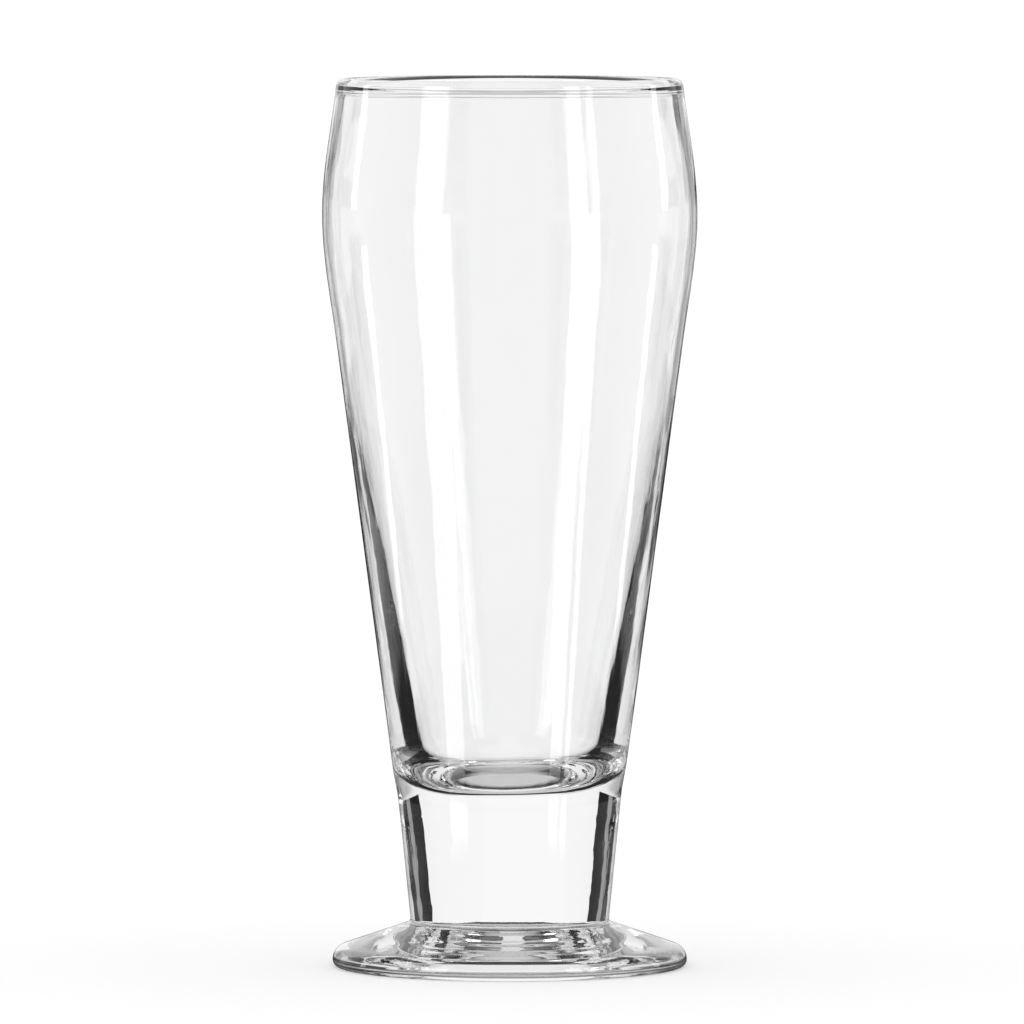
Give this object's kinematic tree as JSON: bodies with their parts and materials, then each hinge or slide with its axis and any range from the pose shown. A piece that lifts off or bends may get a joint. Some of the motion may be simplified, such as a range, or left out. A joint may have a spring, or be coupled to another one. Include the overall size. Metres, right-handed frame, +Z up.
{
  "type": "footed beer glass",
  "caption": "Tall tapering beer glass with a bulged mouth, a heavy solid shank and a round pressed foot, in clear glass.",
  "frame": {"origin": "centre of the foot's resting ring, on the surface that the glass stands on", "axes": "+Z up along the axis of the glass, towards its mouth; the glass is round, so +X and +Y are free"},
  "size_m": [0.0746, 0.0746, 0.177],
  "materials": {
    "clear_glass": "fire-polished, clear and colourless"
  },
  "bodies": {
    "root": {"foot": "clear_glass", "shank": "clear_glass", "bowl": "clear_glass"}
  },
  "joints": []
}
